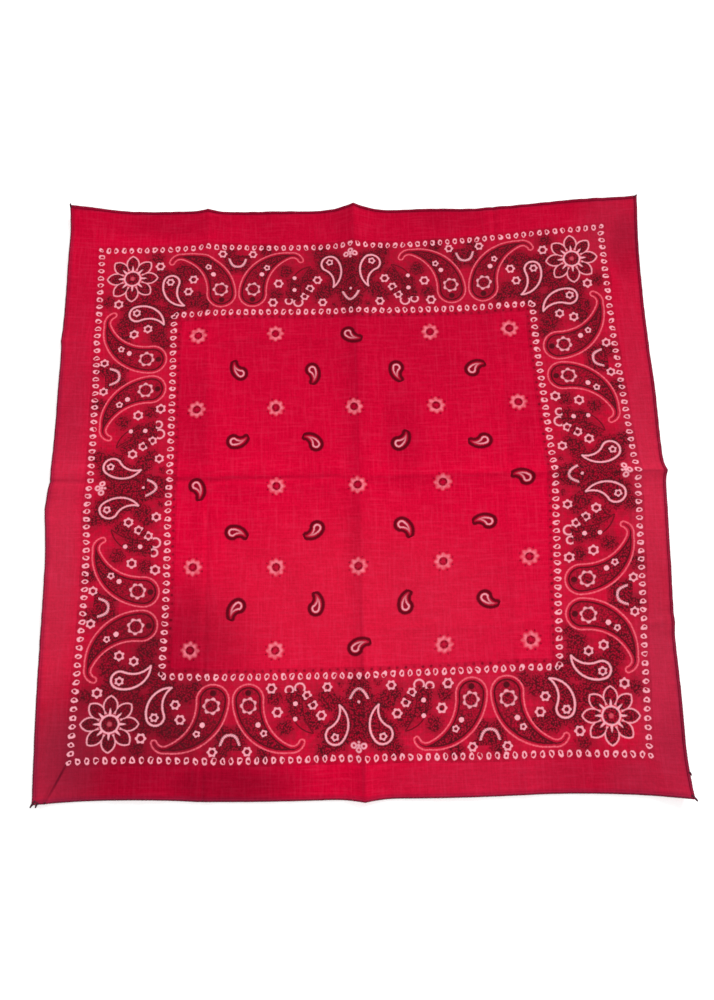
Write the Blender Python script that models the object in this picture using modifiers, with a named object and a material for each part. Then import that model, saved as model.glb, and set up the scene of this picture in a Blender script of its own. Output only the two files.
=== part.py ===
# A square cotton bandana, opened out of its folds and laid flat.
# The printed panel and the four narrow rolled hems sewn round it are separate pieces.
# +X is the cloth's right, -Y its front edge, +Z up; the underside rests at Z = 0.
# Metres in Blender; the tables below are in millimetres.

import math

import bmesh
import bpy
from mathutils import Vector

MM = 0.001

CLOTH_SIDE = 550.0        # the hemmed square
PANEL_THICKNESS = 1.2
HEM_WIDTH = 4.6
HEM_THICKNESS = 2.0
HEM_ROUNDING = 0.6        # chamfer along the hem's long edges
SEAM_GAP = 0.3            # between the panel and each hem, and between hems at a corner

CELLS = 44                # grid cells along one side, a multiple of 4
CROWDING = 0.6            # how far the grid lines draw together at the folds, 0 to 1
PULL_POWER = 3            # how quickly the outline's shape fades towards the middle

HALF_CLOTH = CLOTH_SIDE / 2
HALF_PANEL = HALF_CLOTH - HEM_WIDTH - SEAM_GAP
QUARTER = HALF_PANEL / 2  # the quarter folds lie on grid lines

# How far each edge lies outside its straight line, at points along it.
# sag is how far the edge draws in half way to the next point.
OUTLINE_COLUMNS = ("at", "out", "sag")
OUTLINE = {
    "back": [(-275, 0, 3), (-140, -8, 2), (0, -9, 2), (140, -9, -1), (275, -1, 0)],
    "front": [(-275, 0, 4), (-140, 0, -1), (0, 0, -1), (140, -1, 3), (275, 3, 0)],
    "left": [(-275, 0, -1), (-140, 2, 2), (-25, 5, 0), (5, 2, -1), (140, -1, 1), (275, -3, 0)],
    "right": [(-275, -4, 1), (-140, -5, 0), (0, 0, 0), (140, -3, 1), (275, -1, 0)],
}

# The folds left by the cloth's packed square. Each runs straight from one point of the flat
# cloth to another. A ridge stands on its line, a trough has two low swells beside it.
# tip is how far the fold's end pushes the edge outwards.
FOLD_COLUMNS = ("name", "kind", "x0", "y0", "x1", "y1", "height0", "height1", "reach", "tip")
FOLDS = [
    ("centre to back", "ridge", 0, 0, 0, 275, 2.5, 8.0, 18, 3.0),
    ("centre to front", "ridge", 0, 0, 0, -275, 2.5, 5.0, 18, 2.5),
    ("centre to right", "ridge", 0, 0, 275, 0, 2.0, 5.0, 16, 1.0),
    ("centre to left", "trough", 0, 0, -275, 0, 1.5, 3.0, 22, -1.0),
    ("left quarter, back", "ridge", -QUARTER, 0, -QUARTER, 275, 0.8, 3.5, 13, 1.5),
    ("left quarter, front", "trough", -QUARTER, 0, -QUARTER, -275, 0.8, 1.2, 16, 0.0),
    ("right quarter, back", "trough", QUARTER, 0, QUARTER, 275, 0.6, 1.5, 16, 0.0),
    ("right quarter, front", "ridge", QUARTER, 0, QUARTER, -275, 0.6, 1.2, 12, 0.0),
    ("back quarter, left", "ridge", 0, QUARTER, -275, QUARTER, 0.4, 2.0, 12, 0.5),
    ("front quarter, right", "ridge", 0, -QUARTER, 275, -QUARTER, 0.4, 1.5, 12, 0.5),
    ("turned front left corner", "ridge", -243, -238, -266, -275, 1.0, 4.0, 10, 0.0),
]

# Long low waves where the edges and corners stand off the table.
WAVE_COLUMNS = ("side", "at", "half_length", "lift")
WAVES = [
    ("back", -275, 60, 5.0), ("back", -75, 45, 1.5), ("back", 75, 50, 2.0), ("back", 220, 60, 3.0),
    ("front", -190, 50, 1.5), ("front", 80, 60, 1.2), ("front", 275, 45, 6.0),
    ("left", -110, 45, 2.0), ("left", 90, 50, 1.5), ("left", 215, 40, 2.0),
    ("right", -190, 55, 2.5), ("right", 75, 45, 1.8), ("right", 275, 50, 3.0),
]
WAVE_DEPTH = 38.0         # how far in from the edge a wave reaches


def rows(columns, table):
    """Turn a table's bare rows into dictionaries by column name."""
    return [dict(zip(columns, row)) for row in table]


OUTLINE_ROWS = {side: rows(OUTLINE_COLUMNS, table) for side, table in OUTLINE.items()}
FOLD_ROWS = rows(FOLD_COLUMNS, FOLDS)
WAVE_ROWS = rows(WAVE_COLUMNS, WAVES)


def cusp(distance, reach):
    """1 on the line, falling to 0 at reach: a sharp crest with hollow flanks."""
    nearness = max(0.0, 1.0 - abs(distance) / reach)
    return nearness * nearness


def swell(distance, reach):
    """0 on the line, up to 1 at a third of the reach and back to 0 at the reach."""
    part = min(1.0, abs(distance) / reach)
    return 6.75 * part * (1.0 - part) ** 2


def edge_out(side, at):
    """How far the hemmed edge lies outside its straight line at one place."""
    table = OUTLINE_ROWS[side]
    at = min(max(at, table[0]["at"]), table[-1]["at"])
    for here, following in zip(table, table[1:]):
        if at <= following["at"]:
            part = (at - here["at"]) / (following["at"] - here["at"])
            out = here["out"] + part * (following["out"] - here["out"])
            out -= here["sag"] * 4 * part * (1 - part)
            break
    for fold in FOLD_ROWS:
        end = {"back": (fold["y1"], fold["x1"]), "front": (-fold["y1"], fold["x1"]),
               "right": (fold["x1"], fold["y1"]), "left": (-fold["x1"], fold["y1"])}[side]
        if end[0] >= HALF_CLOTH:
            out += fold["tip"] * cusp(at - end[1], fold["reach"])
    return out


def relief(x, y):
    """Height of the underside over one point of the flat cloth."""
    height = 0.0
    for fold in FOLD_ROWS:
        run = Vector((fold["x1"] - fold["x0"], fold["y1"] - fold["y0"]))
        place = Vector((x - fold["x0"], y - fold["y0"]))
        part = min(max(place.dot(run) / run.length_squared, 0.0), 1.0)
        distance = (place - part * run).length
        top = fold["height0"] + (fold["height1"] - fold["height0"]) * part ** 2
        shape = cusp if fold["kind"] == "ridge" else swell
        height = max(height, top * shape(distance, fold["reach"]))
    wave_height = 0.0
    for wave in WAVE_ROWS:
        inward, along = {"back": (HALF_CLOTH - y, x), "front": (HALF_CLOTH + y, x),
                         "right": (HALF_CLOTH - x, y), "left": (HALF_CLOTH + x, y)}[wave["side"]]
        part = abs(along - wave["at"]) / wave["half_length"]
        if part < 1.0:
            crown = 0.5 + 0.5 * math.cos(math.pi * part)
            wave_height += wave["lift"] * crown * cusp(inward, WAVE_DEPTH)
    return height + wave_height


def pull(place):
    """Share of the edge's displacement that reaches a point: 1 at the edge, 0 in the middle."""
    return (max(0.0, place) / HALF_CLOTH) ** PULL_POWER


def laid(x, y):
    """Where a point of the flat cloth lies, in metres."""
    across = edge_out("right", y) * pull(x) - edge_out("left", y) * pull(-x)
    along = edge_out("back", x) * pull(y) - edge_out("front", x) * pull(-y)
    return Vector((x + across, y + along, relief(x, y))) * MM


def station(place):
    """Grid line from -1 to 1 to a distance on the flat panel, closer together at the folds."""
    return HALF_PANEL * (place - CROWDING * math.sin(4 * math.pi * place) / (4 * math.pi))


def material(name, colour, roughness):
    made = bpy.data.materials.new(name)
    made.use_nodes = True
    shader = made.node_tree.nodes["Principled BSDF"]
    shader.inputs["Base Color"].default_value = (*colour, 1.0)
    shader.inputs["Roughness"].default_value = roughness
    shader.inputs["Metallic"].default_value = 0.0
    return made


def strip_of_cloth(name, cells_x, cells_y, place, thickness, finish, home):
    """A grid whose points are laid by place(u, v), then thickened upwards."""
    cloth = bmesh.new()
    bmesh.ops.create_grid(cloth, x_segments=cells_x, y_segments=cells_y, size=1.0)
    for vertex in cloth.verts:
        vertex.co = laid(*place(vertex.co.x, vertex.co.y))
    mesh = bpy.data.meshes.new(name)
    cloth.to_mesh(mesh)
    cloth.free()
    mesh.materials.append(finish)
    piece = bpy.data.objects.new(name, mesh)
    home.objects.link(piece)
    wall = piece.modifiers.new("cloth thickness", "SOLIDIFY")
    wall.thickness = thickness * MM
    wall.offset = 1.0
    wall.use_even_offset = True
    return piece


def printed_panel(finish, home):
    return strip_of_cloth("panel", CELLS, CELLS, lambda u, v: (station(u), station(v)),
                          PANEL_THICKNESS, finish, home)


def rolled_hem(side, finish, home):
    """One edge. The front and back hems run to the corners, the side hems lie between them."""
    sign = 1 if side in ("back", "right") else -1
    middle = HALF_CLOTH - HEM_WIDTH / 2

    def lengthwise(place):
        if side in ("front", "back") and abs(place) > 1 - 1 / CELLS:
            return math.copysign(HALF_CLOTH, place)
        return station(place)

    def crosswise(place):
        return sign * middle + place * HEM_WIDTH / 2

    if side in ("front", "back"):
        hem = strip_of_cloth("hem_" + side, CELLS, 1, lambda u, v: (lengthwise(u), crosswise(v)),
                             HEM_THICKNESS, finish, home)
    else:
        hem = strip_of_cloth("hem_" + side, 1, CELLS, lambda u, v: (crosswise(u), lengthwise(v)),
                             HEM_THICKNESS, finish, home)
    rounding = hem.modifiers.new("rolled edge", "BEVEL")
    rounding.width = HEM_ROUNDING * MM
    rounding.segments = 1
    rounding.limit_method = "ANGLE"
    rounding.angle_limit = math.radians(60)
    return hem


def centre_over_origin(pieces):
    """Move all the points together, so the whole cloth's box is centred on the origin."""
    points = [vertex.co for piece in pieces for vertex in piece.data.vertices]
    shift = Vector((0.0, 0.0, 0.0))
    for axis in (0, 1):
        shift[axis] = -(min(p[axis] for p in points) + max(p[axis] for p in points)) / 2
    for point in points:
        point += shift


def make_bandana():
    for thing in list(bpy.data.objects):
        bpy.data.objects.remove(thing)
    home = bpy.data.collections.new("bandana")
    bpy.context.scene.collection.children.link(home)
    printed_cotton = material("printed_cotton", (0.68, 0.004, 0.045), 0.9)
    hemmed_cotton = material("hemmed_cotton", (0.33, 0.006, 0.045), 0.9)
    pieces = [printed_panel(printed_cotton, home)]
    for side in ("front", "back", "left", "right"):
        pieces.append(rolled_hem(side, hemmed_cotton, home))
    centre_over_origin(pieces)
    for piece in pieces:
        piece.data.shade_smooth()
        piece.data.set_sharp_from_angle(angle=math.radians(35))


make_bandana()
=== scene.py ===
import math
from types import SimpleNamespace

import bpy
import numpy as np
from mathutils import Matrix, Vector


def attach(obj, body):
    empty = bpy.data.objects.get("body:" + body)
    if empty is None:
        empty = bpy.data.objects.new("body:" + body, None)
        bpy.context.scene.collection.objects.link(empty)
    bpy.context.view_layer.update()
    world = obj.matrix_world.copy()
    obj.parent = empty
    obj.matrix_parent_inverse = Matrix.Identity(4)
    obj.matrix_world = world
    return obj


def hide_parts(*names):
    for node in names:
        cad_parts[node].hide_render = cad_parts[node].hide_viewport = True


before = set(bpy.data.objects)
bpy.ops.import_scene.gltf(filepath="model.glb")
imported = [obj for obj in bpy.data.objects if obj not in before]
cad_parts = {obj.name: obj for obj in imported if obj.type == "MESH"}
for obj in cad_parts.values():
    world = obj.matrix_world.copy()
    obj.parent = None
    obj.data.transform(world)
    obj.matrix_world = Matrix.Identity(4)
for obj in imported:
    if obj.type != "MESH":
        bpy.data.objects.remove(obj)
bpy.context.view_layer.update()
print("frame loaded")

mm = 0.001                # the tables below are in millimetres, Blender works in metres

cloth = {
    "side": 550.0,        # the hemmed square
    "hemWidth": 2.4,
    "quarter": 135.05,    # from the middle to the quarter folds
    "thickness": 0.45,    # a little over real cotton, so the wall stays clean
    "cells": 216,         # grid cells along one side
    "crowding": 0.45,     # how far the grid lines draw together at the folds
    "pullPower": 3,       # how quickly the outline's shape fades towards the middle
    "tuck": 1.0,          # how far the panel runs into the hem
}
halfCloth = cloth["side"] / 2
halfPanel = halfCloth - cloth["hemWidth"] + cloth["tuck"]
quarter = cloth["quarter"]

# how far each edge lies outside its straight line: at, out, sag half way to the next row
edgeLines = {
    "back": [(-275, -2.2, 2.2), (-140, -8, 2), (0, -9, 2), (140, -9, -1), (275, -1, 0)],
    "front": [(-275, 0, 2.5), (-140, 0, -1), (0, 0, -1), (140, -0.5, 2), (275, 5.2, 0)],
    "left": [(-275, 0, -1), (-140, 2, 2), (-25, 5, 0), (5, 2, 1), (140, -1, 1), (275, -3, 0)],
    "right": [(-275, -4, 1), (-140, -5, 0), (-15, 0.6, 0), (0, 0, 0), (140, -3, 1), (275, -1, 0)],
}

# the packing folds: a ridge stands on its line, a trough has two low swells beside it
foldColumns = ("kind", "x0", "y0", "x1", "y1", "height0", "height1", "reach", "tip", "tipReach")
foldTable = [
    ("ridge", 0, 0, 0, 275, 1.4, 3.8, 26, 5.2, 42),
    ("ridge", 0, 0, 0, -275, 1.6, 3.2, 20, 3, 30),
    ("ridge", 0, 0, 275, 0, 1.1, 2.2, 16, 2.4, 16),
    ("trough", 0, 0, -275, 0, 0.6, 1, 20, -1, 22),
    ("ridge", -quarter, 0, -140.5, 275, 0.5, 1.2, 13, 1.8, 16),
    ("trough", -quarter, 0, -quarter, -275, 0.6, 0.9, 16, 0, 16),
    ("trough", quarter, 0, quarter, 275, 0.4, 0.9, 16, 0, 16),
    ("ridge", quarter, 0, quarter, -275, 0.4, 0.7, 12, 0, 12),
    ("ridge", 0, quarter, -275, quarter, 0.3, 0.6, 12, 0.5, 12),
    ("ridge", 0, -quarter, 275, -quarter, 0.3, 0.7, 12, 0.5, 12),
    ("ridge", -243, -236, -264, -275, 1.2, 3.2, 5, 0, 5),
]

# long low waves where the edges and corners stand off the table
waveColumns = ("side", "at", "halfLength", "lift")
waveTable = [
    ("back", -275, 60, 5), ("back", -75, 45, 1.5), ("back", 75, 50, 2), ("back", 220, 60, 3),
    ("front", -190, 50, 1.5), ("front", 80, 60, 1.2), ("front", 275, 45, 6),
    ("left", -110, 45, 2), ("left", 90, 50, 1.5), ("left", 215, 40, 2),
    ("right", -190, 55, 2.5), ("right", 75, 45, 1.8), ("right", 275, 50, 3),
]
waveDepth = 38.0          # how far in from the edge a wave reaches

# slack creases left by handling, each a soft line
creaseColumns = ("x0", "y0", "x1", "y1", "height", "reach")
creaseTable = [
    (20, -97, 75, -93, 0.5, 5), (75, -93, 165, -75, 0.9, 5), (-30, -130, 0, -118, 0.4, 5),
    (-90, -38, -72, -18, 0.4, 5), (-110, -60, -60, -64, 0.3, 5), (-126, -20, -120, -90, 0.4, 6),
    (30, 70, 60, 62, 0.25, 6), (-70, 84, -52, 120, 0.25, 6), (90, 20, 150, 34, 0.3, 6),
]

# soft swells all over the cloth, small crumples beside the folds and puckers along the hems
slackness = {
    "swell": 0.45,
    "swellLength": 70,    # from one to the next
    "crumple": 0.22,
    "crumpleLength": 9,
    "crumpleReach": 26,   # to either side of a fold
    "pucker": 0.3,
    "puckerLength": 13,
    "puckerReach": 20,    # in from the edge
}

def tableRows(columns, table):
    return [dict(zip(columns, row)) for row in table]

folds = tableRows(foldColumns, foldTable)
waves = tableRows(waveColumns, waveTable)
creases = tableRows(creaseColumns, creaseTable)

# 1 on the line and 0 at the reach, with a sharp crest
def cusp(distance, reach):
    return np.clip(1 - np.abs(distance) / reach, 0, 1) ** 2

# 0 on the line, 1 at a third of the reach and 0 at the reach
def swell(distance, reach):
    part = np.clip(np.abs(distance) / reach, 0, 1)
    return 6.75 * part * (1 - part) ** 2

# how far out towards a side places lie, and how far along it
def bySide(side, x, y):
    return {"back": (y, x), "front": (-y, x), "right": (x, y), "left": (-x, y)}[side]

# how far the hemmed edge lies outside its straight line at places along a side
def edgeOut(side, at):
    starts, outs, sags = np.array(edgeLines[side], float).T
    at = np.clip(at, starts[0], starts[-1])
    row = np.clip(np.searchsorted(starts, at) - 1, 0, len(starts) - 2)
    part = (at - starts[row]) / (starts[row + 1] - starts[row])
    out = np.interp(at, starts, outs) - sags[row] * 4 * part * (1 - part)
    for fold in folds:
        outward, along = bySide(side, fold["x1"], fold["y1"])
        if outward >= halfCloth:
            out = out + fold["tip"] * cusp(at - along, fold["tipReach"])
    return out

# how far along a line each place lies, from 0 to 1, and how far from it
def alongLine(line, x, y):
    runX, runY = line["x1"] - line["x0"], line["y1"] - line["y0"]
    part = ((x - line["x0"]) * runX + (y - line["y0"]) * runY) / (runX ** 2 + runY ** 2)
    part = np.clip(part, 0, 1)
    return part, np.hypot(x - line["x0"] - part * runX, y - line["y0"] - part * runY)

# an uneven swell from 0 to about 2, the sum of a few seeded plane waves
def unevenness(x, y, length, seed):
    chance = np.random.default_rng(seed)
    total = 0
    for _ in range(6):
        turn, phase = chance.uniform(0, math.tau, 2)
        pitch = length * chance.uniform(0.7, 1.5)
        total = total + np.sin((x * math.cos(turn) + y * math.sin(turn)) * math.tau / pitch + phase)
    return np.clip(1 + total / 3, 0, None)

# how high the cloth stands at places of the flat cloth
def relief(x, y):
    height = np.zeros_like(x)
    nearFold = np.zeros_like(x)
    for fold in folds:
        part, distance = alongLine(fold, x, y)
        top = fold["height0"] + (fold["height1"] - fold["height0"]) * part ** 3
        shape = cusp if fold["kind"] == "ridge" else swell
        height = np.maximum(height, top * shape(distance, fold["reach"]))
        nearFold = np.maximum(nearFold, cusp(distance, slackness["crumpleReach"]))
    for wave in waves:
        outward, along = bySide(wave["side"], x, y)
        part = np.clip(np.abs(along - wave["at"]) / wave["halfLength"], 0, 1)
        crown = 0.5 + 0.5 * np.cos(math.pi * part)
        height = height + wave["lift"] * crown * cusp(halfCloth - outward, waveDepth)
    for crease in creases:
        part, distance = alongLine(crease, x, y)
        height = height + crease["height"] * np.sin(math.pi * part) * cusp(distance, crease["reach"])
    height = height + slackness["swell"] * unevenness(x, y, slackness["swellLength"], 3)
    height = height + nearFold * slackness["crumple"] * unevenness(x, y, slackness["crumpleLength"], 5)
    for inward, along, seed in ((halfCloth - np.abs(y), x, 7), (halfCloth - np.abs(x), y, 8)):
        pucker = slackness["pucker"] * cusp(inward, slackness["puckerReach"])
        height = height + pucker * unevenness(along, along * 0, slackness["puckerLength"], seed)
    return height

# how much of the outline's shape reaches a place: 1 at the edge, 0 in the middle
def pull(place):
    return (np.clip(place, 0, None) / halfCloth) ** cloth["pullPower"]

# where points of the flat cloth lie, all in millimetres; the third number is the height above it
def laid(points):
    x, y, above = points.T
    across = edgeOut("right", y) * pull(x) - edgeOut("left", y) * pull(-x)
    along = edgeOut("back", x) * pull(y) - edgeOut("front", x) * pull(-y)
    return np.column_stack((x + across, y + along, relief(x, y) + above))

# points of the flat cloth by their place along a side, how far out they are and their height
def alongSide(side, along, outward, above):
    sign = 1 if side in ("back", "right") else -1
    if side in ("front", "back"):
        return np.column_stack((along, sign * outward, above))
    return np.column_stack((sign * outward, along, above))

# the middle of the laid cloth's box, which goes to the origin
def clothMiddle():
    steps = np.linspace(-halfCloth, halfCloth, 551)
    rim = np.concatenate([alongSide(side, steps, steps * 0 + halfCloth, steps * 0) for side in edgeLines])
    rim = laid(rim)
    return (rim.max(0) + rim.min(0)) / 2 * (1, 1, 0)

middle = clothMiddle()
print("cloth middle", middle.round(2))

def vertexPlaces(piece):
    places = np.empty(len(piece.data.vertices) * 3)
    piece.data.vertices.foreach_get("co", places)
    return places.reshape(-1, 3)

def setVertexPlaces(piece, places):
    piece.data.vertices.foreach_set("co", places.ravel())
    piece.data.update()

# moves a piece's vertices from their places on the flat cloth to where the cloth lies
def layDown(piece, flat):
    setVertexPlaces(piece, (laid(flat) - middle) * mm)

def startPiece(name):
    piece = bpy.context.active_object
    piece.name = piece.data.name = name
    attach(piece, "root")
    return piece

def addModifier(piece, kind, **settings):
    modifier = piece.modifiers.new(kind.title(), kind)
    for name, value in settings.items():
        setattr(modifier, name, value)
    bpy.ops.object.modifier_apply(modifier=modifier.name)

def linear(hexColour):
    channels = [int(hexColour[i:i + 2], 16) / 255 for i in (0, 2, 4)]
    return [c / 12.92 if c <= 0.04045 else ((c + 0.055) / 1.055) ** 2.4 for c in channels] + [1]

def fillSocket(tree, socket, source):
    if isinstance(source, bpy.types.NodeSocket):
        tree.links.new(source, socket)
    elif source is not None:
        socket.default_value = source

# adds a node, sets what is named and fills its sockets in order; a kind in capitals, such as "ADD" or
# "Vector:ADD", is a Math or Vector Math operation
def addNode(tree, kind, *sources, output=None, **settings):
    group, _, kind = kind.rpartition(":")
    made = tree.nodes.new("ShaderNode" + (group + "Math" if kind.isupper() else kind))
    if kind.isupper():
        made.operation = kind
    for name, value in settings.items():
        setattr(made, name, value)
    for socket, source in zip([s for s in made.inputs if s.enabled], sources):
        fillSocket(tree, socket, source)
    outputs = [s for s in made.outputs if s.enabled]
    if output == "each":
        return outputs
    return made.outputs[output] if output else outputs[0]

# a new material, a function that adds its nodes and one that fills a socket of its shader
def newMaterial(name):
    material = bpy.data.materials.new(name)
    material.use_nodes = True
    tree = material.node_tree

    def add(*sources, **settings):
        return addNode(tree, *sources, **settings)

    def fill(socketName, source):
        fillSocket(tree, tree.nodes["Principled BSDF"].inputs[socketName], source)

    return material, add, fill

# The border repeats eight times: x runs along a side from its middle, y from the print's middle outwards.
printSheet = {
    "span": 600.0,        # the print's map covers this square
    "field": 160.0,       # half the side of the field inside the border
    "border": (203.5, 41.5),      # the border's middle line and half its width
    "rows": (201.0, 46.0),        # the same with its rows of beads
    "innerRow": 169.5,    # beads round the field
    "outerRow": 240.0,    # beads round the border
    "line": 0.79,         # half the width of a white line
    "coralLine": 0.52,
    "wander": 0.8,        # how far the ink's edges wander from thread to thread
    "bleed": 0.52,        # how far they fade into the threads
    "fleck": 1.9,         # from one dark fleck to the next
    "blotch": 4.2,        # from one dark blotch to the next
    "halo": (4.455, 8.712),       # where the dark ground round a white shape fades, and where it ends
    "specks": 0.012,      # light pigment specks that grey the border's ground a little
}
farAway = 99.0            # further than any shape reaches
# paisleys as a tapering arc: bulb x, y and radius, middle of the arc, sweep in degrees, tail radius, taper
paisleyColumns = ("x", "y", "radius", "middleX", "middleY", "sweep", "tail", "taper")
paisleys = {name: dict(zip(paisleyColumns, row)) for name, row in {
    "corner": (173, 204, 7.3, 153.9, 197.9, -88, 0, 1.6),
    "side": (20.4, 220.8, 8.1, 33.3, 206, 82, 0, 1.25),
    "big": (15, 189, 13.4, 57.7, 189, -82, 3.0, 1.5),      # x is from the pair's mirror line
    "hook": (51.6, 231.2, 3, 54, 223, -88, 2.4, 1),
    "field": (-1.8, 0.7, 7.3, -1.8, 10.7, 74, 3.9, 1.3),
}.items()}
pairMirror = 111.0        # the two big paisleys lean away from this line

# distances to a paisley's middle line and to its outline (negative inside), and the part of its length
def paisleyShape(add, place, shape):
    toBulb = (shape["x"] - shape["middleX"], shape["y"] - shape["middleY"])
    sweep = math.radians(abs(shape["sweep"]))
    local = add("Mapping", place, (shape["middleX"], shape["middleY"], 0),
                (0, 0, math.atan2(toBulb[1], toBulb[0])), (1, math.copysign(1, shape["sweep"]), 1),
                vector_type="TEXTURE")
    x, y, _ = add("SeparateXYZ", local, output="each")
    part = add("DIVIDE", add("ARCTAN2", y, x), sweep, use_clamp=True)
    turn = add("MULTIPLY", part, sweep)
    spine = add("VectorRotate", (math.hypot(*toBulb), 0, 0), (0, 0, 0), (0, 0, 1), turn)
    fromSpine = add("Vector:DISTANCE", local, spine)
    taper = add("POWER", part, shape["taper"])
    width = add("MULTIPLY_ADD", taper, shape["tail"] - shape["radius"], shape["radius"])
    return fromSpine, add("SUBTRACT", fromSpine, width), part

# a soft-edged line along an edge
def stroke(add, edge, half):
    bleed = printSheet["bleed"]
    return add("MapRange", add("ABSOLUTE", edge), half - bleed, half + bleed, 1, 0)

# the three inks, and a function that adds to one where all its masks overlap
def newInks(add):
    inks = dict.fromkeys(("dark", "coral", "white"), 0)

    def lay(name, *masks):
        overlap = masks[0]
        for mask in masks[1:]:
            overlap = add("MULTIPLY", overlap, mask)
        inks[name] = add("MAXIMUM", inks[name], overlap)

    return inks, lay

# the spot of a table that a place lies in: the place seen from its middle, and its third value or nothing
def spotHere(add, place, spots, reach):
    found = (0, 0, 0)
    for x, y, value in spots:
        inside = add("LESS_THAN", add("Vector:DISTANCE", place, (x, y, 0)), reach)
        found = add("Vector:MULTIPLY_ADD", inside, (x, y, value), found)
    local = add("Vector:MULTIPLY", add("Vector:SUBTRACT", place, found), (1, 1, 0))
    return local, add("SeparateXYZ", found, output="Z")

# the nearest of a table of round patches: distance to its rim
def patchEdge(add, place, patches, start):
    for x, y, radius in patches:
        away = add("SUBTRACT", add("Vector:DISTANCE", place, (x, y, 0)), radius)
        start = add("MINIMUM", start, away)
    return start

# a ring of petals round a dark eye; radius, tips and hole are parts of its size
def ringFlower(add, local, size, petals, tips, hole, soft=0.14):
    x, y, _ = add("SeparateXYZ", local, output="each")
    radius = add("DIVIDE", add("Vector:LENGTH", local), size)
    lobes = add("COSINE", add("MULTIPLY", add("ARCTAN2", y, x), petals))
    rim = add("MULTIPLY_ADD", lobes, tips, 1 - tips)
    eye = add("MapRange", add("SUBTRACT", radius, hole), 0.07, -0.07)
    ring = add("MapRange", add("SUBTRACT", rim, radius), 0, soft)
    ring = add("SUBTRACT", ring, eye, use_clamp=True)
    return ring, eye, radius, lobes

bead = {
    "pitch": 7.3,
    "halfWidth": 2.1,
    "halfLength": 3.15,
    "hole": 0.52,         # of the bead's own size
    "holeRim": 0.12,      # how softly it ends
    "holeInk": 0.3,       # how dark it is
    "holeSlip": 1.35,     # how far the hole may sit off the middle
    "lean": 2.0,          # radians a bead may lean either way
    "change": 0.13,       # how quickly both change along a row
    "pipOffset": 4.9,
    "pip": 1.5,
    "pipInk": (0.7, 0.3),         # beside the inner row and beside the outer one
    "markInk": 0.42,      # the marks between the beads
}

# beads in two rows, each leaning its own way with its hole off the middle, and dark pips beside them
def drawBeads(add, lay, here):
    gap = printSheet["outerRow"] - printSheet["innerRow"]
    halfPitch = bead["pitch"] / 2
    x = add("WRAP", here.x, halfPitch, -halfPitch)
    y = add("WRAP", add("SUBTRACT", here.y, printSheet["innerRow"]), gap / 2, -gap / 2)
    chance = add("TexNoise", here.place, bead["change"], 1, noise_dimensions="2D", output="Color")
    lean = add("MULTIPLY_ADD", chance, 2 * bead["lean"], -bead["lean"])
    turned = add("VectorRotate", add("CombineXYZ", x, y), (0, 0, 0), (0, 0, 1), lean)
    shape = add("Vector:MULTIPLY", turned, (1 / bead["halfWidth"], 1 / bead["halfLength"], 1))
    radius = add("Vector:LENGTH", shape)
    slip = add("Vector:SUBTRACT", chance, (0.5, 0.5, 0.5))
    hole = add("Vector:MULTIPLY_ADD", slip, (bead["holeSlip"], bead["holeSlip"], 0), shape)
    hole = add("Vector:LENGTH", add("Vector:MULTIPLY", hole, (1, 1, 0)))
    hole = add("MapRange", hole, bead["hole"] + bead["holeRim"], bead["hole"] - bead["holeRim"])
    whole = add("MapRange", radius, 1.1, 0.85)
    lay("white", add("SUBTRACT", whole, hole, use_clamp=True), here.inRows)
    lay("dark", hole, bead["holeInk"], here.inRows)
    # pips on the field's side, strong beside the inner row only, and faint marks between the beads
    between = add("PINGPONG", add("ADD", here.x, halfPitch), halfPitch)
    beside = add("CombineXYZ", between, y)
    pips = add("Vector:DISTANCE", beside, (0, -bead["pipOffset"], 0))
    pips = add("MapRange", pips, bead["pip"] + 0.8, bead["pip"] - 0.8)
    strength = add("MapRange", here.y, 170, 200, *bead["pipInk"])
    lay("dark", pips, strength, here.blotchy, here.inRows)
    marks = add("MapRange", add("Vector:LENGTH", beside), 2.2, 0.8, 0, bead["markInk"])
    outside = add("GREATER_THAN", radius, 1)
    lay("dark", marks, here.blotchy, outside, here.inRows)

cornerFlower = {
    "at": 210.0,          # from both middle lines
    "hub": 7.4,           # radius of its ring
    "hubLine": 0.72,
    "petalMiddle": 15.1,  # a petal is the overlap of two circles
    "petalBow": 9.3,
    "petalShift": 3.6,
    "petalLine": 0.52,
    "spoke": 2.2,         # half its width at the middle
    "spokeTaper": 0.13,   # and how fast that narrows
}

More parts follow.
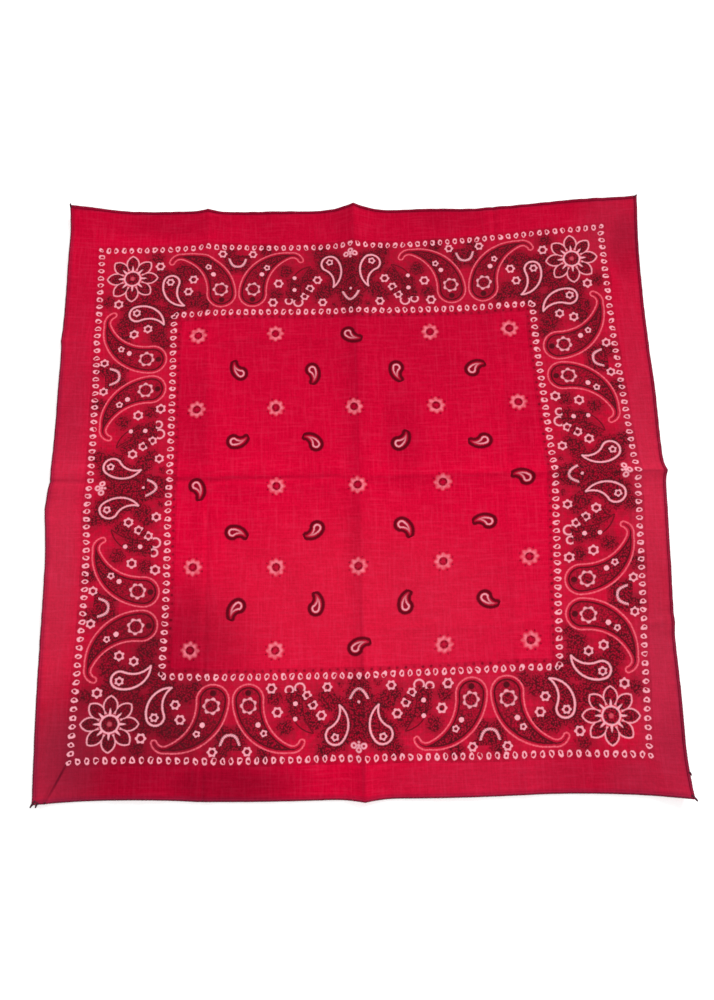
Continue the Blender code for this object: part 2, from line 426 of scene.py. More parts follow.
# eight pointed petals and eight spokes round a hub with a coral eye
def drawCornerFlower(add, lay, here):
    at, hub = cornerFlower["at"], cornerFlower["hub"]
    local = add("Vector:SUBTRACT", here.eighth, (at, at, 0))
    x, y, _ = add("SeparateXYZ", local, output="each")
    fromHub = add("Vector:LENGTH", local)
    turn = add("WRAP", add("ARCTAN2", y, x), math.pi / 8, -math.pi / 8)
    petal = add("VectorRotate", add("CombineXYZ", fromHub), (0, 0, 0), (0, 0, 1), turn)
    petal = add("Vector:ABSOLUTE", petal)
    across = add("SeparateXYZ", petal, output="Y")
    edge = add("Vector:DISTANCE", petal, (cornerFlower["petalMiddle"], -cornerFlower["petalShift"], 0))
    edge = add("SUBTRACT", edge, cornerFlower["petalBow"])
    outside = add("MapRange", fromHub, hub + 1.2, hub + 2.4)
    lay("white", stroke(add, edge, cornerFlower["petalLine"]), outside)
    lay("white", stroke(add, add("SUBTRACT", fromHub, hub), cornerFlower["hubLine"]))
    half = add("MULTIPLY_ADD", fromHub, -cornerFlower["spokeTaper"], cornerFlower["spoke"])
    spoke = add("MapRange", add("SUBTRACT", across, half), -0.3, 0.3, 1, 0)
    end = add("MapRange", fromHub, hub + 6.5, hub + 4.5, 0, 0.95)
    lay("white", spoke, end, add("GREATER_THAN", fromHub, hub))
    inside = add("MAXIMUM", edge, add("SUBTRACT", hub + 0.9, fromHub))
    lay("dark", add("LESS_THAN", inside, -0.6), here.mottle)
    lay("coral", add("MapRange", fromHub, 1.2, 2.6, 0.4, 0))
    middle = add("MapRange", fromHub, 1.6, 3.2, 0.55, 0.95)
    lay("dark", middle, add("LESS_THAN", fromHub, hub), here.mottle)
    here.flowerEdge = add("MINIMUM", edge, add("SUBTRACT", fromHub, hub + 1.5))

smallPaisley = {
    "inset": 0.9,         # the mottled inside starts this far in
    "rind": (1.9, 0.8),   # the dark line's way out and half its width
    "rindInk": 0.9,
}

# white paisleys: one beside the corner flower, one beside the middle of each side
def drawSmallPaisleys(add, lay, here):
    _, corner, _ = paisleyShape(add, here.eighth, paisleys["corner"])
    _, side, _ = paisleyShape(add, here.eighth, paisleys["side"])
    edge = add("MINIMUM", corner, side)
    out, half = smallPaisley["rind"]
    lay("white", stroke(add, edge, printSheet["line"]))
    lay("dark", add("LESS_THAN", edge, -smallPaisley["inset"]), here.mottle)
    lay("dark", stroke(add, add("SUBTRACT", edge, out), half), smallPaisley["rindInk"])
    here.smallEdge = edge

bigPaisley = {
    "bandInk": 0.32,
    "ring": (3.1, 0.95),  # the dark line's way in and half its width
    "ringInk": 0.97,
    "heart": 3.2,         # it starts this far in
    "heartInk": (0.6, 0.95),      # in the bulb and towards the tail
    "spot": (15, 183, 3.6),       # a dark one in the bulb: x, y, radius
}

# a pair of big hooked paisleys in coral; inside the line a maroon band, a dark line and a mottled heart
def drawBigPaisleys(add, lay, here):
    _, body, part = paisleyShape(add, here.mirrored, paisleys["big"])
    _, hook, _ = paisleyShape(add, here.mirrored, paisleys["hook"])
    edge = add("MINIMUM", body, hook)
    lay("coral", stroke(add, edge, printSheet["coralLine"]), here.twisted)
    lay("dark", add("MapRange", edge, -0.4, -1.4, 0, bigPaisley["bandInk"]))
    inward, half = bigPaisley["ring"]
    lay("dark", stroke(add, add("ADD", edge, inward), half), bigPaisley["ringInk"])
    heart = add("MapRange", part, 0, 0.6, *bigPaisley["heartInk"])
    lay("dark", heart, add("LESS_THAN", edge, -bigPaisley["heart"]), here.mottle)
    spot = patchEdge(add, here.mirrored, [bigPaisley["spot"]], farAway)
    lay("dark", add("MapRange", spot, 0, -1.3))
    here.bigEdge = edge

arches = {
    "pairTop": 218.5,     # how far out the tops lie
    "sideTop": 180.7,
    "square": 0.045,      # the pair's arch falls away with the square of x
    "fourth": 0.0014,     # and with its fourth power
    "sideSquare": 0.155,  # the side's with the square alone
    "reach": 9.0,         # down from the top, and to each side
    "line": 0.95,
    "dot": 1.1,           # half the way from one dot of the line to the next
    "insideInk": 0.4,
}

# an arch between each pair of big paisleys, and a pointed one at the middle of each side
def drawArches(add, lay, here):
    x = add("MINIMUM", here.x, add("SeparateXYZ", here.mirrored, output="X"))
    atSide = add("LESS_THAN", here.x, pairMirror / 2)
    top = add("MULTIPLY_ADD", atSide, arches["sideTop"] - arches["pairTop"], arches["pairTop"])
    down = add("SUBTRACT", here.y, top)
    near = add("MINIMUM", x, arches["reach"])
    square = add("MULTIPLY", near, near)
    bend = add("MULTIPLY_ADD", square, arches["fourth"], arches["square"])
    bend = add("Mix", atSide, bend, arches["sideSquare"])
    slope = add("MULTIPLY", add("MULTIPLY", bend, near), add("MULTIPLY_ADD", atSide, -1.2, 3.2))
    edge = add("SUBTRACT", down, add("MULTIPLY", bend, square))
    edge = add("DIVIDE", edge, add("SQRT", add("MULTIPLY_ADD", slope, slope, 1)))
    edge = add("SUBTRACT", edge, add("SUBTRACT", x, near))
    short = add("LESS_THAN", down, arches["reach"])
    # the line is half broken into dots
    dots = add("WRAP", add("ADD", x, down), arches["dot"], -arches["dot"])
    dots = add("MapRange", add("ABSOLUTE", dots), 0.5, 1, 1, 0.55)
    lay("white", stroke(add, edge, arches["line"]), dots, short)
    # the halo lies over the arch only, so elsewhere the distance is pushed far away
    over = add("COMPARE", down, 2, 11)
    here.archEdge = add("MULTIPLY_ADD", over, -farAway, add("SUBTRACT", farAway, edge))
    lay("dark", add("COMPARE", edge, 5, 4.3), short, arches["insideInk"])

# small ring flowers in the border: x, y, radius
borderFlowers = [
    (184, 222, 5), (157, 193.5, 4.7), (152.5, 206, 4.9), (125.5, 232.5, 4.6), (96, 232.5, 4.6),
    (76, 179.5, 5.2), (70.5, 200, 5.2), (45, 186, 4.6), (39.8, 194.5, 4.7), (32.5, 203.5, 5),
    (27.5, 179.3, 4.8), (127, 194, 8), (95.5, 194, 8), (138.5, 217.5, 3.3), (82, 217.5, 3.5),
    (174, 204.5, 4.3), (20.5, 222.5, 3.9),
]
# solid white dots: x, y, radius
whiteDots = [(55, 193, 2), (55, 206, 1.9), (134, 210, 2.2), (87, 210.3, 2.2), (0, 192, 1.25)]
# three open leaves at the middle of each side: x, y, radius
clover = [(4.2, 229, 2.5), (0, 232.4, 2.4), (0, 228.8, 1.3), (0, 226, 0.9)]
# the lily's arcs: middle x, y, radius
lily = {
    "scallops": [(60.4, 181.2, 3.3), (51.3, 179.8, 4.2)],
    "leaves": [(35.4, 195.2, 23.7), (9.2, 191.6, 40)],
    "from": 39.0,         # they are drawn from this x on
    "band": (203.0, 16.0),        # and this far either side of this y
    "bodyInk": 0.48,
}

# small flowers and dots, and the lily's scalloped top and long leaves
def drawBlossoms(add, lay, here):
    local, size = spotHere(add, here.eighth, borderFlowers, 7.6)
    # the bigger the flower, the more petals and the wider the hole
    petals = add("FLOOR", add("MULTIPLY_ADD", size, 0.4, 4.4))
    hole = add("MULTIPLY_ADD", size, 0.055, 0.2)
    ring, eye, _, _ = ringFlower(add, local, add("MAXIMUM", size, 0.01), petals, 0.1, hole)
    lay("white", ring, 0.9)
    lay("dark", eye, 0.85, here.mottle)
    dots = patchEdge(add, here.eighth, whiteDots, farAway)
    lay("white", add("MapRange", dots, -0.3, 0.3, 1, 0))
    leaves = patchEdge(add, here.eighth, clover, farAway)
    lay("white", stroke(add, add("ADD", leaves, 0.6), 0.75))
    for middleX, middleY, radius in lily["scallops"]:
        scallop = add("Vector:DISTANCE", here.eighth, (middleX, middleY, 0))
        scallop = stroke(add, add("SUBTRACT", scallop, radius), 0.7)
        lay("white", scallop, add("LESS_THAN", here.y, middleY + 2.2))
    inLily = add("COMPARE", here.y, *lily["band"])
    inLily = add("MULTIPLY", inLily, add("GREATER_THAN", here.x, lily["from"]))
    sides = []
    for middleX, middleY, radius in lily["leaves"]:
        leaf = add("Vector:DISTANCE", here.eighth, (middleX, middleY, 0))
        sides.append(add("SUBTRACT", leaf, radius))
        lay("dark", stroke(add, sides[-1], 0.8), inLily, 0.9)
    body = add("MAXIMUM", sides[0], add("MULTIPLY", sides[1], -1))
    lay("dark", add("LESS_THAN", body, 0), inLily, lily["bodyInk"], here.mottle)

# patches of dark flecks for leaves: x, y, radius without the ragged rim
leafPatches = [
    (150, 184, 3), (192, 192, 5), (187, 231, 0), (151, 215, 1.5), (162, 213, 4),
    (16, 176, -3.5), (163, 190, 3), (182, 210, 4), (141, 178, 0), (170, 176, 3), (0, 219, 1),
    (14, 205, 3), (24, 192, 3), (30, 187, 1), (43, 204, 1), (38, 210, 0.5), (73, 188, 0.6),
    (82, 235, 0.5), (64, 213, 1), (55, 188, 3), (54, 199, 2), (0, 179, 4), (0, 195, 4),
    (0, 208, 3), (4, 219, 0), (118, 233, 0), (30, 233, 1), (42, 193, 0),
]

# a mottled dark ground round the white shapes and leaves, ragged at its rim
def drawHalo(add, lay, here):
    away = add("MINIMUM", here.smallEdge, here.archEdge)
    away = patchEdge(add, here.eighth, leafPatches, away)
    ragged = add("MULTIPLY_ADD", here.blotch, 12, add("SUBTRACT", away, 6))
    halo = add("MapRange", ragged, *printSheet["halo"], 0.97, 0)
    halo = add("MULTIPLY", halo, here.mottle)
    # a maroon ground under it, which the clear red between the shapes leaves out
    ground = add("MapRange", away, 4, 20, 0.5, 0.18)
    ground = add("MULTIPLY", ground, here.blotchy)
    halo = add("MAXIMUM", halo, ground)
    for edge, start in ((here.smallEdge, 0), (here.bigEdge, 0.6), (here.flowerEdge, 0.6)):
        halo = add("MULTIPLY", halo, add("GREATER_THAN", edge, start))
    lay("dark", halo)

fieldFlower = {
    "pitch": 73.3,
    "shape": {"size": 8.7, "petals": 8, "tips": 0.09, "hole": 0.45, "soft": 0.3},
    "inks": {"coral": 0.78, "white": 0.2},
    "darkInk": 0.7,
}
fieldPaisley = {
    # x, y, heading at the bulb in degrees, with a minus where the tail turns the other way
    "spots": [(-108.5, 107, -158), (-36.5, 109, -308), (39, 110, 245), (109, 110, -67),
        (-111, 40.5, 340), (-36.5, 40.5, 107), (39.5, 37.5, 17), (112, 37, -221),
        (-143.5, 1, -323), (-3, 143.5, 298), (145, 2, 123)],
    "outline": 1.6,       # the dark outline's way in from the edge
    "outlineInk": 0.92,
    "insideInk": 0.3,
    "drop": (2.9, -4.0),  # half the width of the white drop inside, and its change towards the tail
    "dropInk": (0.95, 0.35),      # in the bulb and towards the tail
    "heartInk": 0.62,     # the dark heart of the drop
}

# ring flowers on a square grid with small paisleys between them
def drawField(add, lay, here):
    half = fieldFlower["pitch"] / 2
    x, y, _ = add("SeparateXYZ", here.place, output="each")
    cell = add("CombineXYZ", add("WRAP", x, half, -half), add("WRAP", y, half, -half))
    ring, eye, radius, lobes = ringFlower(add, cell, **fieldFlower["shape"])
    pips = add("MapRange", lobes, -0.6, -0.9, 0, 0.7)
    pips = add("MULTIPLY", add("COMPARE", radius, 1, 0.1), pips)
    # a paisley takes the flower's place at the end of each middle line
    atEnd = add("LESS_THAN", here.x, 20)
    atEnd = add("MULTIPLY", atEnd, add("GREATER_THAN", here.y, 120))
    shown = add("SUBTRACT", here.inField, atEnd, use_clamp=True)
    ring = add("MULTIPLY", add("MULTIPLY", ring, here.blotchy), shown)
    for name, strength in fieldFlower["inks"].items():
        lay(name, ring, strength)
    eye = add("MULTIPLY", eye, add("MapRange", radius, 0.08, 0.3, 0.3, 1))
    lay("dark", add("MAXIMUM", eye, pips), here.mottle, shown, fieldFlower["darkInk"])
    # front and back halves mirror each other, except on the middle line
    depth = add("ABSOLUTE", y)
    depth = add("Mix", add("GREATER_THAN", depth, 15), y, depth)
    folded = add("CombineXYZ", x, depth)
    local, heading = spotHere(add, folded, fieldPaisley["spots"], 14)
    way = add("SIGN", heading)
    turn = add("MULTIPLY", add("ABSOLUTE", heading), -math.radians(1))
    local = add("VectorRotate", local, (0, 0, 0), (0, 0, 1), turn)
    local = add("Vector:MULTIPLY", local, add("CombineXYZ", 1, way, 1))
    fromSpine, edge, part = paisleyShape(add, local, paisleys["field"])
    shown = add("MULTIPLY", here.inField, add("ABSOLUTE", way))
    outline = add("ABSOLUTE", add("ADD", edge, fieldPaisley["outline"]))
    lay("dark", add("MapRange", outline, 0.9, 2.2, fieldPaisley["outlineInk"], 0), shown)
    inside = add("MULTIPLY", add("LESS_THAN", edge, -fieldPaisley["outline"]), shown)
    lay("dark", inside, fieldPaisley["insideInk"])
    width, taper = fieldPaisley["drop"]
    drop = add("SUBTRACT", fromSpine, add("MULTIPLY_ADD", part, taper, width))
    strength = add("MapRange", part, 0.1, 0.7, *fieldPaisley["dropInk"])
    lay("white", stroke(add, drop, 0.6), strength, inside)
    lay("dark", add("MapRange", drop, -0.5, -1.2, 0, fieldPaisley["heartInk"]), inside)

def drawPrint(add, place):
    ax, ay, _ = add("SeparateXYZ", add("Vector:ABSOLUTE", place), output="each")
    x, y = add("MINIMUM", ax, ay), add("MAXIMUM", ax, ay)
    flecks = add("TexVoronoi", place, 1 / printSheet["fleck"], voronoi_dimensions="2D")
    blotch = add("TexNoise", place, 1 / printSheet["blotch"], 2, noise_dimensions="2D")
    here = SimpleNamespace(
        place=place, x=x, y=y, eighth=add("CombineXYZ", x, y), blotch=blotch,
        mirrored=add("CombineXYZ", add("ABSOLUTE", add("SUBTRACT", x, pairMirror)), y),
        mottle=add("MULTIPLY", add("MapRange", flecks, 0.12, 0.52, 0.46, 1.12),
                   add("MapRange", blotch, 0.38, 0.58, 0.74, 1.03)),
        twisted=add("MapRange", flecks, 0.15, 0.6, 1.05, 0.62),
        blotchy=add("MapRange", blotch, 0.36, 0.6, 0.5, 1.1),
        inField=add("LESS_THAN", y, printSheet["field"]),
        inRows=add("COMPARE", y, *printSheet["rows"]))
    inks, lay = newInks(add)
    borderInks, layInBorder = newInks(add)
    for draw in (drawCornerFlower, drawSmallPaisleys, drawBigPaisleys, drawArches, drawBlossoms, drawHalo):
        draw(add, layInBorder, here)
    inBorder = add("COMPARE", y, *printSheet["border"])
    for name, mask in borderInks.items():
        lay(name, mask, inBorder)
    specks = add("ABSOLUTE", add("SUBTRACT", y, 204))
    specks = add("MapRange", specks, 42, 30, 0, printSheet["specks"])
    lay("white", here.blotchy, specks)
    drawBeads(add, lay, here)
    drawField(add, lay, here)
    return inks

dyeAndPaintedShade = {
    "ground": ("D2002F", "E60439"),       # between the threads and on them
    "weave": 0.95,        # across a streak of threads, three times as coarse as it is
    "streak": 26.0,       # and along it
    "weaveDepth": 0.62,
    "grain": 2.4,         # from one slack place in the weave to the next
    "grainDepth": 0.76,
    "contrast": (0.75, 1.25),
    "slub": "F22E58",     # thicker paler threads, in both directions
    "slubWidth": 2.6,
    "slubLength": 24,
    "slubs": 0.2,
    # painted shade, sheen and light, each a veil colour mixed into the ground
    "paintedVeils": {"duller": "6A4961", "deeper": "3A0414", "paler": "FFD8E0", "pressed": "3A0414"},
    "wine": "5A1C3C",     # the cloth darkens towards the hem
    "wineFrom": (5.0, 1.5),       # none this far in, most of it this far in
    "wineMost": 0.42,
    # where each veil of painted shade, sheen and light lies: middle x, y, half its size along x and y,
    # strength, turn if it has one
    # painted sheen: a greyish veil, mostly over the margins and corners, where light grazes the cloth
    "duller": [(-262, -20, 32, 290, 0.18), (262, 0, 32, 300, 0.18), (110, -150, 130, 140, 0.05),
        (115, -262, 145, 34, 0.13), (235, -262, 60, 30, 0.2), (250, 245, 50, 60, 0.16),
        (-255, -248, 50, 80, 0.25), (262, -200, 42, 170, 0.26)],
    # painted shade: the soft shadow over the front left corner, and darker patches where less light falls,
    # mostly over the back half and the margins
    "deeper": [(-200, -235, 150, 105, 0.52), (-165, -150, 105, 85, 0.38), (-122, -262, 112, 36, 0.56),
        (205, -262, 120, 40, 0.27), (262, -255, 34, 70, 0.22), (30, -266, 330, 30, 0.12),
        (40, 235, 430, 270, 0.22), (-175, 262, 130, 34, 0.3), (-262, 190, 36, 130, 0.2),
        (-150, 70, 36, 100, 0.2), (42, 60, 34, 95, 0.18), (150, 70, 34, 85, 0.16),
        (262, 222, 34, 62, 0.34), (262, -120, 34, 90, 0.14), (-262, -110, 34, 90, 0.1),
        (-262, 88, 36, 90, 0.2), (95, 262, 70, 34, 0.31)],
    # painted light: a faint whitish veil where more light falls on the lower middle and the side margins
    "paler": [(-10, -115, 195, 115, 0.011), (-262, -110, 30, 190, 0.01), (262, -60, 30, 190, 0.01)],
    # painted shade: darker lines along the packing folds and the turned corner, where the creases are shaded
    "pressed": [(-253.5, -255.5, 24, 1.5, 0.64, 61.7), (0, 60, 3.4, 310, 0.2), (0, 20, 15, 340, 0.1),
        (0, -175, 3.2, 170, 0.25), (-16, 268, 26, 40, 0.1), (120, 0, 200, 3.2, 0.1),
        (-160, 0, 230, 3.4, 0.23), (238, 0, 75, 1.8, 0.28)],
}

# streaks of noise across each other, as the two directions of threads lie
def crossedStreaks(add, flat, width, length, detail):
    for stretch in ((1 / length, 1 / width, 1), (1 / width, 1 / length, 1)):
        yield add("TexNoise", add("Vector:MULTIPLY", flat, stretch), 1, detail, noise_dimensions="2D")

# the dyed ground of the cloth by its place when flat, with painted shade, sheen and light laid over it, and
# the height of its threads
def dyedGroundWithPaintedShade(add, flat):
    weave = 0
    for streak in crossedStreaks(add, flat, dyeAndPaintedShade["weave"], dyeAndPaintedShade["streak"], 2):
        weave = add("MULTIPLY_ADD", streak, dyeAndPaintedShade["weaveDepth"], weave)
    grain = add("TexNoise", flat, 1 / dyeAndPaintedShade["grain"], 2, noise_dimensions="2D")
    weave = add("MULTIPLY_ADD", grain, dyeAndPaintedShade["grainDepth"], weave)
    weave = add("MapRange", weave, *dyeAndPaintedShade["contrast"])
    ground = add("Mix", weave, *[linear(colour) for colour in dyeAndPaintedShade["ground"]], data_type="RGBA")
    for slub in crossedStreaks(add, flat, dyeAndPaintedShade["slubWidth"], dyeAndPaintedShade["slubLength"], 1):
        slub = add("MapRange", slub, 0.5, 0.8, 0, dyeAndPaintedShade["slubs"])
        ground = add("Mix", slub, ground, linear(dyeAndPaintedShade["slub"]), data_type="RGBA")
    # painted shade, sheen and light laid over the dyed ground as veils
    for name, veil in dyeAndPaintedShade["paintedVeils"].items():
        fade = "LINEAR" if name == "pressed" else "SMOOTHSTEP"
        strength = 0
        for middleX, middleY, halfX, halfY, most, *turn in dyeAndPaintedShade[name]:
            turn = math.radians(turn[0]) if turn else 0
            near = add("Mapping", flat, (middleX, middleY, 0), (0, 0, turn), (halfX, halfY, 1),
                       vector_type="TEXTURE")
            near = add("MapRange", add("Vector:LENGTH", near), 0.2, 1, most, 0, interpolation_type=fade)
            strength = add("MAXIMUM", near, strength)
        ground = add("Mix", strength, ground, linear(veil), data_type="RGBA")
    x, y, _ = add("SeparateXYZ", add("Vector:ABSOLUTE", flat), output="each")
    inward = add("SUBTRACT", halfCloth, add("MAXIMUM", x, y))
    wine = add("MapRange", inward, *dyeAndPaintedShade["wineFrom"], 0, dyeAndPaintedShade["wineMost"])
    return add("Mix", wine, ground, linear(dyeAndPaintedShade["wine"]), data_type="RGBA"), weave

# the place in millimetres on the flat cloth or its print, from a piece's map of that name
def mapPlace(add, name):
    span = printSheet["span"]
    return add("Vector:MULTIPLY_ADD", add("UVMap", uv_map=name), (span, span, 0), (-span / 2, -span / 2, 0))

cotton = {
    "roughness": (1.0, 0.86),     # between the threads and on them
    "bump": 0.35,
    "threadHeight": 0.0002,       # metres
    "specular": 0.03,
    "sheen": 0.02,
    "sheenRoughness": 0.6,
    "sheenTint": "FF5A70",
    "inks": {"dark": "520613", "coral": "FF7486", "white": "FFAEBC"},
}

# what all the cotton shares: matt threads that stand up a little, with a soft sheen from the side
def finishCotton(add, fill, colour, weave):
    fill("Base Color", colour)
    fill("Roughness", add("MapRange", weave, 0, 1, *cotton["roughness"]))
    fill("Normal", add("Bump", cotton["bump"], cotton["threadHeight"], None, weave))
    fill("Specular IOR Level", cotton["specular"])
    fill("Sheen Weight", cotton["sheen"])
    fill("Sheen Roughness", cotton["sheenRoughness"])
    fill("Sheen Tint", linear(cotton["sheenTint"]))

# Plain-woven cotton with pigment printed on it: matt, a little uneven, ink edges that bleed into the threads,
# and painted shade, sheen and light in its ground
def printedCotton():
    material, add, fill = newMaterial("printedCotton")
    place = mapPlace(add, "print")
    wander = printSheet["wander"]
    bleed = add("TexNoise", place, 0.8, 2, noise_dimensions="2D", output="Color")
    place = add("Vector:MULTIPLY_ADD", bleed, (wander, wander, 0), place)
    place = add("Vector:SUBTRACT", place, (wander / 2, wander / 2, 0))
    inks = drawPrint(add, place)
    colour, weave = dyedGroundWithPaintedShade(add, mapPlace(add, "flat"))
    soaked = add("Attribute", attribute_name="inkStrength", output="Fac")
    for name, hexColour in cotton["inks"].items():
        strength = add("MULTIPLY", inks[name], soaked)
        colour = add("Mix", strength, colour, linear(hexColour), data_type="RGBA")
    finishCotton(add, fill, colour, weave)
    return material

# The same cotton, unprinted, rolled tight: the dye looks deeper where the cloth is doubled
def hemmedCotton():
    material, add, fill = newMaterial("hemmedCotton")
    finishCotton(add, fill, *dyedGroundWithPaintedShade(add, mapPlace(add, "flat")))
    return material

thread = {
    "pitch": 1.1,         # from one wrap to the next
    "thickness": 0.5,
    "width": 2.0,         # how far a wrap reaches in from the edge
    "overhang": 0.15,     # and how far out past it
    "sink": 0.05,         # how far it presses into the roll
    "slant": 14,          # degrees
    "colours": ("341019", "5C2236"),
    "twists": 500.0,      # streaks a little under 1 mm apart
    "specular": 0.2,
}

# Spun polyester overlock thread, dark maroon: its twist shows as fine slanting streaks, duller than cotton
def overlockThread():
    material, add, fill = newMaterial("overlockThread")
    place = add("TexCoord", output="Object")
    twist = add("TexWave", place, thread["twists"], 1.5, bands_direction="DIAGONAL", output="Fac")
    uneven = add("TexNoise", place, 90, 2)
    shade = add("MULTIPLY_ADD", uneven, 0.8, add("MULTIPLY_ADD", twist, 0.4, -0.2))
    fill("Base Color", add("Mix", shade, *[linear(colour) for colour in thread["colours"]], data_type="RGBA"))
    fill("Roughness", add("MapRange", uneven, 0.3, 0.7, 0.65, 0.9))
    fill("Normal", add("Bump", 0.4, 0.0001, None, twist))
    fill("Specular IOR Level", thread["specular"])
    return material

# a grid line's place on the flat cloth, closer to the next one at the folds
def station(place):
    return halfPanel * (place - cloth["crowding"] * np.sin(4 * math.pi * place) / (4 * math.pi))

# the cloth is pulled out of square: how far x and y of the print lie off, from the front row to the back
printSlip = {
    "at": (-241, -120, 0, 120, 241),
    "rows": [
        [(-5, -2.5), (-1.5, -3), (-4.5, -2), (-5, -3), (2.5, -3)],
        [(-0.5, -1.5), (0, -7), (-2, -8), (-1.5, -1.5), (8, 0.5)],
        [(0.5, -7), (0, -7.5), (-1, -8), (4.5, -6), (10, 1.5)],
        [(-1.5, -13.5), (0, -6), (-4.5, -7), (-3, -8), (3, -0.5)],
        [(-3, -10), (0, -6), (-3.5, -8), (-6, -1), (-1, 5)],
    ],
}

# where on the print points of the flat cloth fall
def printPlace(x, y):
    at = printSlip["at"]
    # how much each column and each row of the table counts at a point
    columns, rows = ([np.interp(places, at, one) for one in np.eye(len(at))] for places in (x, y))
    return np.column_stack((x, y)) - np.einsum("rn,cn,rca->na", rows, columns, printSlip["rows"])

def addMap(mesh, name, places):
    layer = mesh.uv_layers.new(name=name)
    layer.data.foreach_set("uv", np.ascontiguousarray(places).ravel())

def addFlatMap(mesh, flat):
    corners = np.empty(len(mesh.loops), int)
    mesh.loops.foreach_get("vertex_index", corners)
    addMap(mesh, "flat", flat[corners, :2] / printSheet["span"] + 0.5)

# "print" carries the pattern, "flat" the place on the cut cloth, and "OFBake" gives the printed side
# most of a baked texture
def addMaps(piece):
    mesh = piece.data
    grid = np.empty(len(mesh.loops) * 2)
    mesh.uv_layers[0].data.foreach_get("uv", grid)
    grid = grid.reshape(-1, 2)
    flat = station(grid * 2 - 1)
    upward = np.array([polygon.normal.z > 0.3 for polygon in mesh.polygons])
    # the ink soaks through only in part, so the print is fainter underneath
    strength = mesh.attributes.new("inkStrength", "FLOAT", "FACE")
    strength.data.foreach_set("value", np.where(upward, 1, 0.5).astype(np.float32))
    upward = np.repeat(upward, [polygon.loop_total for polygon in mesh.polygons])[:, None]
    share = np.where(upward, (0.996, 0.796), (0.996, 0.186))
    corner = np.where(upward, (0.002, 0.202), (0.002, 0.004))
    span = printSheet["span"]
    addMap(mesh, "print", printPlace(*flat.T) / span + 0.5)
    addMap(mesh, "flat", flat / span + 0.5)
    addMap(mesh, "OFBake", corner + grid * share)
    mesh.uv_layers.remove(mesh.uv_layers[0])

# cuts a new cylinder, two units long, into even rings
def cutRings(count):
    bpy.ops.object.mode_set(mode="EDIT")
    for cut in range(1, count):
        bpy.ops.mesh.select_all(action="SELECT")
        bpy.ops.mesh.bisect(plane_co=(0, 0, -1 + 2 * cut / count), plane_no=(0, 0, 1))
    bpy.ops.object.mode_set(mode="OBJECT")

# turns the new piece's faces outwards and gives it its finish
def cover(piece, finish):
    bpy.ops.object.mode_set(mode="EDIT")
    bpy.ops.mesh.select_all(action="SELECT")
    bpy.ops.mesh.normals_make_consistent(inside=False)
    bpy.ops.object.mode_set(mode="OBJECT")
    bpy.ops.object.shade_smooth()
    piece.data.materials.append(finish)

def makePanel(finish):
    bpy.ops.mesh.primitive_grid_add(x_subdivisions=cloth["cells"], y_subdivisions=cloth["cells"], size=2)
    piece = startPiece("bandanaCloth")
    grid = vertexPlaces(piece)
    layDown(piece, np.column_stack((station(grid[:, :2]), grid[:, 2])))
    addModifier(piece, "SOLIDIFY", thickness=cloth["thickness"] * mm, offset=1, use_even_offset=True)
    addMaps(piece)
    cover(piece, finish)
    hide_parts("panel")
    return piece

hem = {
    "rollHeight": 0.9,    # the rolled edge
    "inset": 0.25,        # the roll stands this far off the table, with thread under it
    "rings": 220,         # along one side
    "points": 12,         # round one ring
    "setBack": 1.5,       # the side hems stop this far short of the corners
}
rollMiddle = hem["inset"] + hem["rollHeight"] / 2

def makeHem(side, finish):
    bpy.ops.mesh.primitive_cylinder_add(vertices=hem["points"], radius=1, depth=2, end_fill_type="NGON")
    piece = startPiece("hem" + side.title())
    cutRings(hem["rings"])
    ring = vertexPlaces(piece)
    # an oval roll whose inner side swallows the cloth's edge
    half = cloth["hemWidth"] / 2
    above = rollMiddle + hem["rollHeight"] / 2 * ring[:, 1]
    along = ring[:, 2] * halfCloth
    if side in ("left", "right"):
        along = np.clip(along, hem["setBack"] - halfCloth, halfCloth - hem["setBack"])
    flat = alongSide(side, along, halfCloth - half + ring[:, 0] * half, above)
    addFlatMap(piece.data, flat)
    layDown(piece, flat)
    cover(piece, finish)
    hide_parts("hem_" + side)
    return piece

def makeThread(side, finish):
    count = int((cloth["side"] - 2) / thread["pitch"])
    minor = 0.3           # of the ring that a wrap is shaped from
    bpy.ops.mesh.primitive_torus_add(major_radius=1, minor_radius=minor, major_segments=10, minor_segments=4)
    piece = startPiece("thread" + side.title())
    wrap = vertexPlaces(piece)
    # the ring's middle line is an oval round the rolled edge, and its own roundness is the thread's
    angle = np.arctan2(wrap[:, 1], wrap[:, 0])
    swelling = thread["thickness"] / 2 / minor
    radial = (np.hypot(wrap[:, 0], wrap[:, 1]) - 1) * swelling
    outX = (thread["width"] / 2 + radial) * np.cos(angle)
    outZ = (hem["rollHeight"] / 2 - thread["sink"] + radial) * np.sin(angle)
    lean = math.tan(math.radians(thread["slant"])) * outX
    setVertexPlaces(piece, np.column_stack((wrap[:, 2] * swelling + lean, outX, outZ)) * mm)
    addModifier(piece, "ARRAY", count=count, use_relative_offset=False, use_constant_offset=True,
                constant_offset_displace=(thread["pitch"] * mm, 0, 0))
    strip = vertexPlaces(piece) / mm
    along = strip[:, 0] - count * thread["pitch"] / 2
    outward = halfCloth - thread["width"] / 2 + thread["overhang"] + strip[:, 1]
    above = rollMiddle + strip[:, 2]
    layDown(piece, alongSide(side, along, outward, above))
    cover(piece, finish)
    return piece

# the overlock chain runs on a little past the corners: the line of each tail on the flat cloth
threadTails = {
    "lines": [
        [(-272, -272), (-275, -275), (-276.4, -277)],
        [(-269.8, -273.2), (-271.2, -275.2), (-272, -277.4)],
        [(272.5, -272), (275.5, -274.8), (276.9, -276.5)],
        [(-273.8, 272), (-274.6, 275), (-275, 277)],
        [(272.5, 273), (274.4, 274.8), (275.2, 275.8)],
        [(273.8, -255), (275.4, -256), (275.9, -257.6)],
    ],
    "radius": 1.3,
    "tipRadius": 0.6,
    "flatness": 0.6,
    "loops": 5,           # the chain's loops show as small swellings
    "loopSize": 0.25,
    "rings": 12,
    "points": 7,
}

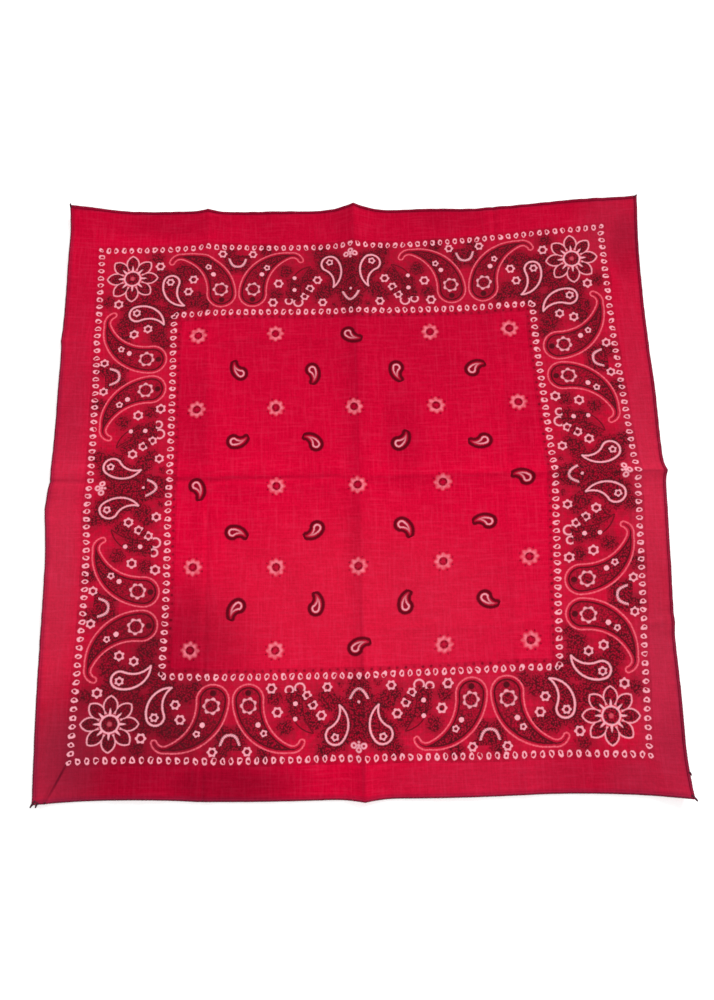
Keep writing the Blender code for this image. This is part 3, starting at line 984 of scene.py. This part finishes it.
def makeThreadTails(finish):
    tails = []
    for points in threadTails["lines"]:
        bpy.ops.mesh.primitive_cylinder_add(vertices=threadTails["points"], radius=1, depth=2,
                                            end_fill_type="TRIFAN")
        tail = bpy.context.active_object
        cutRings(threadTails["rings"])
        ring = vertexPlaces(tail)
        part = (ring[:, 2] + 1) / 2
        pathX, pathY = (np.interp(part, np.linspace(0, 1, len(points)), line) for line in zip(*points))
        radius = threadTails["radius"] + (threadTails["tipRadius"] - threadTails["radius"]) * part
        radius = radius * (1 + threadTails["loopSize"] * np.sin(part * threadTails["loops"] * math.tau))
        run = math.atan2(points[-1][1] - points[0][1], points[-1][0] - points[0][0])
        aside = ring[:, 0] * radius
        above = rollMiddle + ring[:, 1] * radius * threadTails["flatness"]
        layDown(tail, np.column_stack((pathX - math.sin(run) * aside, pathY + math.cos(run) * aside, above)))
        tails.append(tail)
    for tail in tails:
        tail.select_set(True)
    bpy.context.view_layer.objects.active = tails[0]
    bpy.ops.object.join()
    piece = startPiece("threadTails")
    cover(piece, finish)
    return piece

clothFinish, hemFinish, threadFinish = printedCotton(), hemmedCotton(), overlockThread()
panel = makePanel(clothFinish)
print("panel made")
sides = ("front", "back", "left", "right")
hems = [makeHem(side, hemFinish) for side in sides]
print("hems made")
threads = [makeThread(side, threadFinish) for side in sides] + [makeThreadTails(threadFinish)]
print("thread made")

studio = {
    "floorSize": 6.0,     # metres
    "floorDrop": 0.0003,  # the floor lies this far under the cloth
    "floorGrey": 0.85,
    "floorGlow": 0.55,
    "skyGlow": 0.55,
    "sun": 2.6,
    "sunAngle": 16,       # degrees across, for soft shadows
    "sunFrom": (0.9, 1.1, 0.85),
    "lens": 30.6,         # millimetres, on this sensor
    "sensor": 36,
    "camera": (-3.7, -185.5, 741.4),
    "tilt": 12.7,         # degrees away from straight down
    "turn": -1.09,
}
white = (1, 1, 1, 1)

def makeFloor():
    bpy.ops.mesh.primitive_plane_add(size=studio["floorSize"], location=(0, 0, -studio["floorDrop"]))
    bpy.ops.object.transform_apply(location=True, rotation=True, scale=True)
    floor = bpy.context.active_object
    floor.name = "studioFloor"
    material, _, fill = newMaterial("whiteSweep")
    fill("Base Color", (*[studio["floorGrey"]] * 3, 1))
    fill("Roughness", 0.9)
    fill("Emission Color", white)
    fill("Emission Strength", studio["floorGlow"])
    floor.data.materials.append(material)

def makeLights():
    world = bpy.data.worlds.new("studioWorld")
    world.use_nodes = True
    sky = world.node_tree.nodes["Background"].inputs
    sky["Color"].default_value = white
    sky["Strength"].default_value = studio["skyGlow"]
    bpy.context.scene.world = world
    bpy.ops.object.light_add(type="SUN", location=studio["sunFrom"])
    key = bpy.context.active_object
    key.name = "keyLight"
    key.data.energy = studio["sun"]
    key.data.angle = math.radians(studio["sunAngle"])
    key.rotation_euler = (-Vector(studio["sunFrom"])).to_track_quat("-Z", "Y").to_euler()

def makeCamera():
    bpy.ops.object.camera_add(location=[c * mm for c in studio["camera"]],
                              rotation=(math.radians(studio["tilt"]), 0, math.radians(studio["turn"])))
    camera = bpy.context.active_object
    camera.name = "studioCamera"
    camera.data.lens = studio["lens"]
    camera.data.sensor_width = studio["sensor"]
    camera.data.clip_start = 0.01
    bpy.context.scene.camera = camera

makeFloor()
makeLights()
makeCamera()
bpy.context.scene.view_settings.view_transform = "Standard"
print("studio made")
